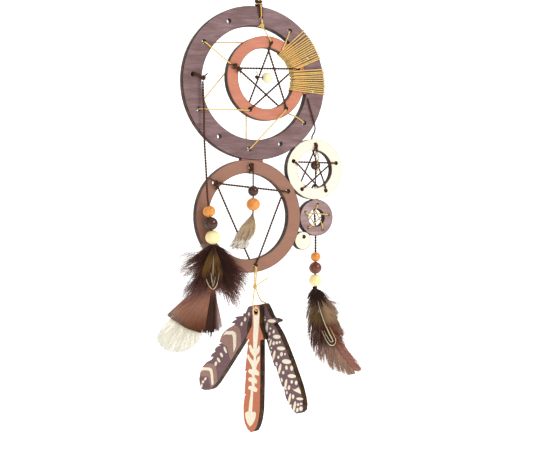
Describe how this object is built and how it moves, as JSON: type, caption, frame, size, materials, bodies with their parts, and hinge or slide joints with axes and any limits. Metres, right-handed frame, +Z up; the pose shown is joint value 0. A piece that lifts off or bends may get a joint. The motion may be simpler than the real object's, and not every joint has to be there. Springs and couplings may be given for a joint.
{
  "type": "dream catcher",
  "caption": "Hanging dream catcher of thin plywood rings with thread stars, a thread lashing, and bead and feather pendants.",
  "frame": {"origin": "the point inside the top of the hanging loop where a hook carries it", "axes": "+Z up along the hanging line, front faces -Y, +X to the right seen from the front"},
  "size_m": [0.154, 0.0829, 0.3156],
  "materials": {
    "ring_mauve": "painted ply, thin mauve-brown wash with brushed grain",
    "ring_terracotta": "painted ply, terracotta",
    "ring_milk_brown": "painted ply, milk-coffee brown",
    "ring_cream": "whitewashed birch ply",
    "ring_plum": "painted ply, plum brown",
    "disc_cream": "whitewashed birch ply",
    "gold_thread": "metallic gold embroidery thread",
    "brown_cord": "waxed two-ply cotton cord, dark brown",
    "hanger_cord": "two-ply cord, brown twisted with gold",
    "bead_orange": "lacquered wooden bead, orange",
    "bead_dark": "lacquered wooden bead, dark brown",
    "bead_red_brown": "lacquered wooden bead, red brown",
    "bead_cream": "plain wooden bead, cream",
    "bead_pearl": "pearl bead",
    "feather_dark": "natural feathers, dark brown and black",
    "feather_cream": "natural feather, ivory",
    "feather_grey": "natural down feather, grey-beige",
    "feather_olive": "natural pheasant feather, olive and rust",
    "painted_plum": "painted ply, plum with cream marks",
    "painted_terracotta": "painted ply, terracotta with cream arrow"
  },
  "bodies": {
    "hanger": {"hanger_loop": "hanger_cord"},
    "hanger_tie": {"hanger_tie": "hanger_cord"},
    "board": {"main_ring": "ring_mauve", "inner_ring": "ring_terracotta", "lower_ring": "ring_milk_brown", "cream_ring": "ring_cream", "small_ring": "ring_plum", "tiny_disc": "disc_cream", "web_thread": "gold_thread", "lashing_lead": "gold_thread", "lashing": "gold_thread", "inner_star": "brown_cord", "pearl_bead": "bead_pearl", "pearl_tie": "brown_cord", "cream_star": "brown_cord", "small_star": "gold_thread", "triangle_thread": "brown_cord", "left_tie": "brown_cord", "centre_tie": "brown_cord", "right_string": "brown_cord", "gold_tie": "gold_thread"},
    "ring_bead": {"ring_bead": "bead_dark"},
    "left_pendant": {"left_cord": "brown_cord"},
    "left_bead_top": {"left_bead_top": "bead_orange"},
    "left_bead_middle": {"left_bead_middle": "bead_dark"},
    "left_bead_low": {"left_bead_low": "bead_cream"},
    "left_feathers": {"left_binding": "feather_dark", "left_feather_almond": "feather_olive", "left_feather_brown": "feather_dark", "left_feather_cream": "feather_cream"},
    "centre_pendant": {"centre_cord": "brown_cord"},
    "centre_bead_dark": {"centre_bead_dark": "bead_dark"},
    "centre_bead_warm": {"centre_bead_warm": "bead_orange"},
    "centre_feather": {"centre_feather": "feather_grey"},
    "right_pendant": {"right_cord": "brown_cord"},
    "right_bead_top": {"right_bead_top": "bead_orange"},
    "right_bead_middle": {"right_bead_middle": "bead_red_brown"},
    "right_bead_low": {"right_bead_low": "bead_cream"},
    "right_feather": {"right_binding": "feather_dark", "right_feather": "feather_olive"},
    "feather_thread": {"feather_thread": "gold_thread"},
    "wooden_feather_left": {"wooden_feather_left": "painted_plum"},
    "wooden_feather_centre": {"wooden_feather_centre": "painted_terracotta"},
    "wooden_feather_right": {"wooden_feather_right": "painted_plum"}
  },
  "joints": [
    {"name": "board_turn", "type": "hinge", "parent": "hanger", "child": "hanger_tie", "pos_m": [0, 0, -0.032], "axis": [0, 0, 1], "continuous": true},
    {"name": "board_swing", "type": "hinge", "parent": "hanger_tie", "child": "board", "pos_m": [0.00002, 0, -0.04298], "axis": [0, 1, 0], "range_deg": [-12, 12]},
    {"name": "ring_bead_spin", "type": "hinge", "parent": "board", "child": "ring_bead", "pos_m": [0.03935, -0.0035, -0.1389], "axis": [0, 0, 1], "continuous": true},
    {"name": "left_swing", "type": "hinge", "parent": "board", "child": "left_pendant", "pos_m": [-0.041, -0.0049, -0.0862], "axis": [0, 1, 0], "range_deg": [0, 12]},
    {"name": "left_bead_top_spin", "type": "hinge", "parent": "left_pendant", "child": "left_bead_top", "pos_m": [-0.03786, -0.00765, -0.1696], "axis": [-0.1454, 0.0071, 0.9893], "continuous": true},
    {"name": "left_bead_middle_spin", "type": "hinge", "parent": "left_pendant", "child": "left_bead_middle", "pos_m": [-0.03671, -0.00771, -0.1774], "axis": [-0.1454, 0.0071, 0.9893], "continuous": true},
    {"name": "left_bead_low_spin", "type": "hinge", "parent": "left_pendant", "child": "left_bead_low", "pos_m": [-0.03543, -0.00777, -0.1861], "axis": [-0.1454, 0.0071, 0.9893], "continuous": true},
    {"name": "left_feathers_swing", "type": "hinge", "parent": "left_pendant", "child": "left_feathers", "pos_m": [-0.0348, -0.0078, -0.1906], "axis": [1, 0, 0], "range_deg": [-14, 0]},
    {"name": "centre_swing", "type": "hinge", "parent": "board", "child": "centre_pendant", "pos_m": [-0.0069, -0.0065, -0.1404], "axis": [1, 0, 0], "range_deg": [-35, 0]},
    {"name": "centre_bead_dark_spin", "type": "hinge", "parent": "centre_pendant", "child": "centre_bead_dark", "pos_m": [-0.00726, -0.00743, -0.1564], "axis": [0.0096, 0.0048, 0.9999], "continuous": true},
    {"name": "centre_bead_warm_spin", "type": "hinge", "parent": "centre_pendant", "child": "centre_bead_warm", "pos_m": [-0.00734, -0.00747, -0.165], "axis": [0.0096, 0.0048, 0.9999], "continuous": true},
    {"name": "centre_feather_swing", "type": "hinge", "parent": "centre_pendant", "child": "centre_feather", "pos_m": [-0.0073, -0.0075, -0.1712], "axis": [0, 1, 0], "range_deg": [-20, 10]},
    {"name": "right_swing", "type": "hinge", "parent": "board", "child": "right_pendant", "pos_m": [0.0397, -0.0009, -0.1522], "axis": [0, 1, 0], "range_deg": [-12, 3]},
    {"name": "right_bead_top_spin", "type": "hinge", "parent": "right_pendant", "child": "right_bead_top", "pos_m": [0.04324, 0.0043, -0.2002], "axis": [0.0206, 0, 0.9998], "continuous": true},
    {"name": "right_bead_middle_spin", "type": "hinge", "parent": "right_pendant", "child": "right_bead_middle", "pos_m": [0.04309, 0.0043, -0.2076], "axis": [0.0206, 0, 0.9998], "continuous": true},
    {"name": "right_bead_low_spin", "type": "hinge", "parent": "right_pendant", "child": "right_bead_low", "pos_m": [0.04292, 0.0043, -0.216], "axis": [0.0206, 0, 0.9998], "continuous": true},
    {"name": "right_feather_turn", "type": "hinge", "parent": "right_pendant", "child": "right_feather", "pos_m": [0.0428, 0.0043, -0.222], "axis": [0, 0, 1], "range_deg": [-75, 75]},
    {"name": "feather_thread_swing", "type": "hinge", "parent": "board", "child": "feather_thread", "pos_m": [-0.0038, -0.00316, -0.2095], "axis": [0, 1, 0], "range_deg": [-8, 8]},
    {"name": "wooden_left_swing", "type": "hinge", "parent": "feather_thread", "child": "wooden_feather_left", "pos_m": [0.00572, 0.00437, -0.2339], "axis": [-0.8572, -0.515, 0], "range_deg": [-25, 60]},
    {"name": "wooden_centre_swing", "type": "hinge", "parent": "feather_thread", "child": "wooden_feather_centre", "pos_m": [-0.00257, -0.00474, -0.2349], "axis": [-0.8572, -0.515, 0], "range_deg": [-25, 25]},
    {"name": "wooden_right_swing", "type": "hinge", "parent": "feather_thread", "child": "wooden_feather_right", "pos_m": [0.00157, -0.00019, -0.2344], "axis": [-0.8572, -0.515, 0], "range_deg": [-45, 15]}
  ]
}
